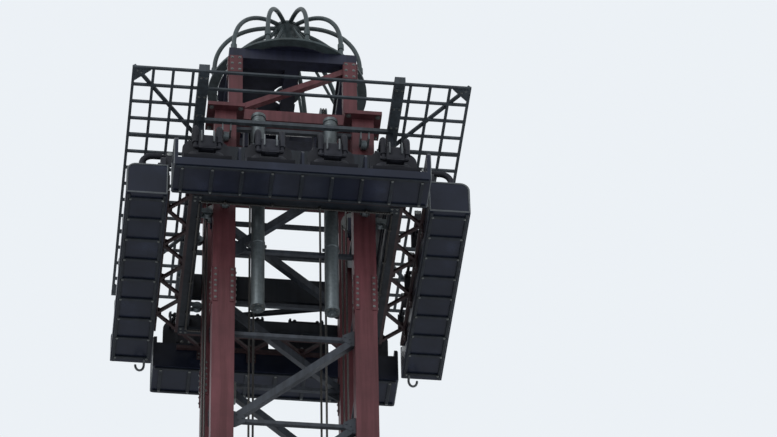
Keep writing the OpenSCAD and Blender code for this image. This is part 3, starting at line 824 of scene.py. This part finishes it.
def roof_clips():
    """Clips and bolts along the roof's two main beams, and gussets at the mesh's corners."""
    plates = Shape()
    bolts = Shape()
    t = 0.006
    z = PARK_Z + ROOF_Z
    end_gap = 0.06
    spaces = 12
    for sx in (-1, 1):
        for k in range(spaces + 1):
            y = -ROOF_REACH + end_gap + k * (2 * ROOF_REACH - 2 * end_gap) / spaces
            clip = at(sx * MAIN_BEAM, y, z) @ FACE_DOWN
            plates.block((0.060, 0.024, t), clip @ at(0, 0, t / 2), 0.002)
            for x in (-0.018, 0.018):
                bolts.bolt(clip @ at(x, 0, t), r=0.005, h=0.005)
        for sy in (-1, 1):
            corner = at(sx * (ROOF_REACH - MESH_W), sy * (ROOF_REACH - MESH_W), z) @ FACE_DOWN
            plates.prism([(0, 0), (-sx * 0.10, 0), (0, sy * 0.10)], t, corner)
            for along in (0.016, 0.040):
                bolts.bolt(corner @ at(-sx * along, sy * along * 0.6, t), r=0.004, h=0.004)
    plates.make("roof_clips", "roof_paint", "gondola")
    bolts.make("roof_bolts", "fastener", "gondola")


def cushion(width, length, thick, corner, crown, nx=14, ny=18):
    """Crowned pad: sides pulled in between the corners, a sewn border and two cross seams.

    Returns points and faces with the back of the pad on its own Z = 0.
    """
    def outline(u, v):
        # Square grid point to rounded rectangle, its sides drawn in by a few per cent
        x, y = u * width / 2, v * length / 2
        cut = corner * (abs(u) * abs(v)) ** 6 * 0.30
        x -= math.copysign(cut, u) if u else 0
        y -= math.copysign(cut, v) if v else 0
        x *= 1 - 0.030 * (1 - v * v)
        y *= 1 - 0.020 * (1 - u * u)
        return x, y

    def groove(distance, width, depth):
        # Share of the height that a stitched groove leaves, at a distance from its middle
        return 1 - depth * math.exp(-(distance / width) ** 2)

    def height(u, v):
        edge = (1 - abs(u) ** 5) * (1 - abs(v) ** 5)
        seam = groove(abs(v) - 0.36, 0.045, 0.30)
        border = groove(max(abs(u), abs(v)) - 0.80, 0.05, 0.22)
        return thick * (0.42 + 0.58 * edge ** 0.5 * seam * border * (1 - crown * (u * u + v * v) * 0.5))

    verts, faces = [], []
    for j in range(ny + 1):
        v = -1 + 2 * j / ny
        v = math.sin(v * math.pi / 2) * 0.35 + v * 0.65
        for i in range(nx + 1):
            u = -1 + 2 * i / nx
            u = math.sin(u * math.pi / 2) * 0.35 + u * 0.65
            x, y = outline(u, v)
            verts.append((x, y, height(u, v)))
    row = nx + 1
    for j in range(ny):
        for i in range(nx):
            a = j * row + i
            faces.append((a, a + 1, a + row + 1, a + row))
    rim = ([i for i in range(row)] + [j * row + nx for j in range(1, ny + 1)]
           + [ny * row + i for i in range(nx - 1, -1, -1)] + [j * row for j in range(ny - 1, 0, -1)])
    start = len(verts)
    for k in rim:
        x, y, _ = verts[k]
        verts.append((x * 0.985, y * 0.985, 0.0))
    n = len(rim)
    for k in range(n):
        faces.append((rim[k], start + k, start + (k + 1) % n, rim[(k + 1) % n]))
    faces.append(tuple(start + k for k in range(n)))
    return verts, faces


def seat_pads():
    """Padded seat, back and head cushions of each wing."""
    for side in SIDES:
        shape = Shape()
        base = side_place(side) @ at(0, 0, PARK_Z)
        for i in SEATS:
            seat = base @ at(0, seat_v(i), 0)
            pan = seat @ at(SEAT_IN + 0.118, 0, PAN_TOP)
            shape.add(*cushion(0.160, 0.236, 0.020, 0.10, 0.25), pan)
            back = seat @ at(BACK_FACE - 0.0005, 0, 0) @ FACE_X
            shape.add(*cushion(0.170, 0.232, 0.024, 0.10, 0.25), back @ at(-0.240, 0, 0))
            shape.add(*cushion(0.070, 0.170, 0.022, 0.12, 0.35), back @ at(-0.374, 0, 0))
        pads = shape.make("seat_pads_" + side, "vinyl", "gondola", smooth=60)


def seat_hardware():
    """Bearing rings on the pivot lugs, back-shell ribs and the bolts that hold each seat."""
    metal = Shape()
    ribs = Shape()
    for side in SIDES:
        base = side_place(side) @ at(0, 0, PARK_Z)
        for i in SEATS:
            seat = base @ at(0, seat_v(i), 0)
            for s in (-1, 1):
                v = s * (ARM_PITCH / 2 + ARM_R + 0.017 + 0.007)
                ring = seat @ at(PIVOT_U, v, PIVOT_Z) @ turned(-90 * s, "X")
                metal.lathe(((0.0175, 0), (0.0175, 0.003), (0.0145, 0.005)), 20, ring)
                rib = seat @ at(SEAT_IN - 0.0025, s * 0.055, 0.300)
                ribs.block((0.007, 0.018, 0.150), rib, 0.002)
            for z in (0.235, 0.385):
                for v in (-0.025, 0.025):
                    metal.bolt(seat @ at(SEAT_IN, v, z) @ turned(180) @ FACE_X, r=0.006, h=0.005)
    metal.make("seat_fasteners", "fastener", "gondola")
    ribs.make("seat_back_ribs", "seat_shell", "gondola")


def restraint_padding():
    """Foam sleeves on the shoulder tubes, a chest pad and two grab handles on each restraint."""
    for side in SIDES:
        for i in SEATS:
            body = "restraint_%s_%d" % (side, i + 1)
            base = side_place(side) @ at(0, seat_v(i), PARK_Z)
            foam = Shape()
            handles = Shape()
            for s in (-1, 1):
                v = s * ARM_PITCH / 2
                centre_u = ARM_OUT - ARM_BEND_R
                centre_z = ARM_Z - ARM_BEND_R
                path = [(PIVOT_U + 0.045, ARM_Z)]
                path += [(centre_u + ARM_BEND_R * math.cos(a), centre_z + ARM_BEND_R * math.sin(a))
                         for a in arc(90, 0, 8)]
                path.append((ARM_OUT, LAP_Z + 0.035))
                foam.tube([base @ Vector((u, v, z)) for u, z in path], 0.0200, 16)
                grip = [(ARM_OUT + 0.012, LAP_Z + 0.100), (ARM_OUT + 0.034, LAP_Z + 0.112),
                        (ARM_OUT + 0.046, LAP_Z + 0.095), (ARM_OUT + 0.046, LAP_Z + 0.045),
                        (ARM_OUT + 0.034, LAP_Z + 0.028), (ARM_OUT + 0.012, LAP_Z + 0.038)]
                handles.tube([base @ Vector((u, v * 0.52, z)) for u, z in grip], 0.0055, 8)
            front = base @ at(ARM_OUT - 0.006, 0, LAP_Z + 0.038)
            for place in (front @ FACE_X, front @ turned(180) @ FACE_X):
                foam.add(*cushion(0.128, 0.126, 0.030, 0.10, 0.2, 10, 10), place)
            soft = foam.make("restraint_foam_%s_%d" % (side, i + 1), "restraint_coat", body,
                             smooth=60)
            handles.make("grab_handles_%s_%d" % (side, i + 1), "trim", body)


# Head and crown

HEAD_HALF = 0.375
HEAD_POST_W = 0.090
HEAD_H = 0.560
HEAD_TOP = HEAD_BASE + HEAD_H
FRAME_TOP = HEAD_TOP + HEAD_BEAM_H
DECK_T = 0.012
DECK_TOP = FRAME_TOP + DECK_T
CROWN_R = 0.500
CROWN_RING_T = 0.016
CROWN_LIFT = 0.110
SPRING_Z = FRAME_TOP + CROWN_RING_T + CROWN_LIFT
HUB_T = 0.020
HUB_Z = SPRING_Z + CROWN_R - HUB_T
HOOPS = 12
CROWN_TURN = -5


def head_fasteners():
    """Bolted plates at the foot and top of the head's posts."""
    plates = Shape()
    bolts = Shape()
    t = 0.007
    for side in SIDES:
        for v in (-HEAD_HALF, HEAD_HALF):
            for z in (HEAD_BASE + 0.045, HEAD_TOP - 0.06):
                place = side_place(side) @ at(HEAD_HALF + HEAD_POST_W / 2, v, z) @ FACE_X
                plates.block((0.15, 0.080, t), place @ at(0, 0, t / 2), 0.002)
                for x in (-0.055, 0.0, 0.055):
                    for y in (-0.025, 0.025):
                        bolts.bolt(place @ at(x, y, t), r=0.0055, h=0.006)
    plates.make("head_plates", "mast_paint", "tower")
    bolts.make("head_bolts", "fastener", "tower")


def crown_details():
    """Collar and raking struts under the hub, clamps at the hoops' feet and hub bolts."""
    struts = Shape()
    bolts = Shape()
    struts.lathe(((0.048, HUB_Z - 0.10), (0.048, HUB_Z - 0.055), (0.090, HUB_Z - 0.002)), 32, Matrix())
    struts.lathe(((0.060, HUB_Z + HUB_T), (0.055, HUB_Z + 0.024), (0.020, HUB_Z + 0.026)), 32, Matrix())
    for k in range(8):
        a = math.radians(22.5 + 45 * k)
        out = Vector((math.cos(a), math.sin(a), 0))
        top = out * 0.070 + Vector((0, 0, HUB_Z - 0.012))
        foot = out * 0.405 + Vector((0, 0, DECK_TOP))
        struts.tube([foot, top], 0.010, 8)
        struts.block((0.055, 0.055, 0.008), at(foot.x, foot.y, foot.z + 0.004), 0.002)
    for k in range(HOOPS):
        a = math.radians((k + 0.5) * 360 / HOOPS + CROWN_TURN)
        out = Vector((math.cos(a), math.sin(a), 0))
        ring = out * CROWN_R
        struts.lathe(((0.021, 0), (0.021, 0.045)), 16, at(ring.x, ring.y, SPRING_Z - 0.045))
        bolt = out * 0.078
        bolts.bolt(at(bolt.x, bolt.y, HUB_Z + HUB_T), r=0.006, h=0.006)
    struts.make("crown_struts", "crown_paint", "tower")
    bolts.make("crown_bolts", "fastener", "tower")


# Scene

# Name, place, edge of its square and watts of each lamp
LAMPS = (("key", (-14, -22, 34), 14, 3600),
         ("fill", (20, -14, 16), 16, 1800),
         ("rear", (6, 24, 30), 14, 1800))
LAMP_AIM = Vector((0, 0, 20))


def stage():
    """Large pale floor, a pale world and soft lamps."""
    bpy.ops.mesh.primitive_plane_add(size=400, location=(0, 0, -0.001))
    floor = bpy.context.object
    floor.name = "floor"
    mat, nodes = new_material("floor", 0.9)
    nodes["Principled BSDF"].inputs["Base Color"].default_value = (0.80, 0.81, 0.82, 1)
    floor.data.materials.append(mat)

    world = bpy.data.worlds.new("world")
    bpy.context.scene.world = world
    world.use_nodes = True
    nodes = world.node_tree.nodes
    links = world.node_tree.links
    light = nodes["Background"]
    light.inputs["Color"].default_value = (0.93, 0.96, 1.0, 1)
    light.inputs["Strength"].default_value = 0.75
    seen = nodes.new("ShaderNodeBackground")
    seen.inputs["Color"].default_value = (0.84, 0.88, 0.92, 1)
    seen.inputs["Strength"].default_value = 1.0
    path = nodes.new("ShaderNodeLightPath")
    either = nodes.new("ShaderNodeMath")
    either.operation = "MAXIMUM"
    choose = nodes.new("ShaderNodeMixShader")
    links.new(path.outputs["Is Camera Ray"], either.inputs[0])
    links.new(path.outputs["Is Glossy Ray"], either.inputs[1])
    links.new(either.outputs[0], choose.inputs[0])
    links.new(light.outputs[0], choose.inputs[1])
    links.new(seen.outputs[0], choose.inputs[2])
    links.new(choose.outputs[0], nodes["World Output"].inputs["Surface"])

    for name, place, size, watts in LAMPS:
        data = bpy.data.lights.new(name, "AREA")
        data.size = size
        data.energy = watts
        lamp = bpy.data.objects.new(name, data)
        lamp.location = place
        aim = LAMP_AIM - lamp.location
        lamp.rotation_euler = aim.to_track_quat("-Z", "Y").to_euler()
        bpy.context.scene.collection.objects.link(lamp)


def dress_nodes():
    """Give every CAD node the finish of its slot."""
    for entry in frame["record"]["subparts"]:
        obj = frame["nodes"][entry["node"]]
        material = MATERIALS[entry["material_slot"]]
        for slot in obj.material_slots:
            slot.material = material


add_camera()
MATERIALS = make_materials()
dress_nodes()
mast_gussets()
column_splices()
column_cap_bolts()
anchor_bolts()
hoist_ropes()
drive_sheaves()
drive_ropes()
conduit()
cylinder_fittings()
head_fasteners()
crown_details()
painted_highlight_beads()
drain_pipes()
tray_undersides()
outrigger_plates()
ring_details()
roof_clips()
seat_pads()
seat_hardware()
restraint_padding()
stage()

bpy.context.scene.view_settings.view_transform = "Standard"
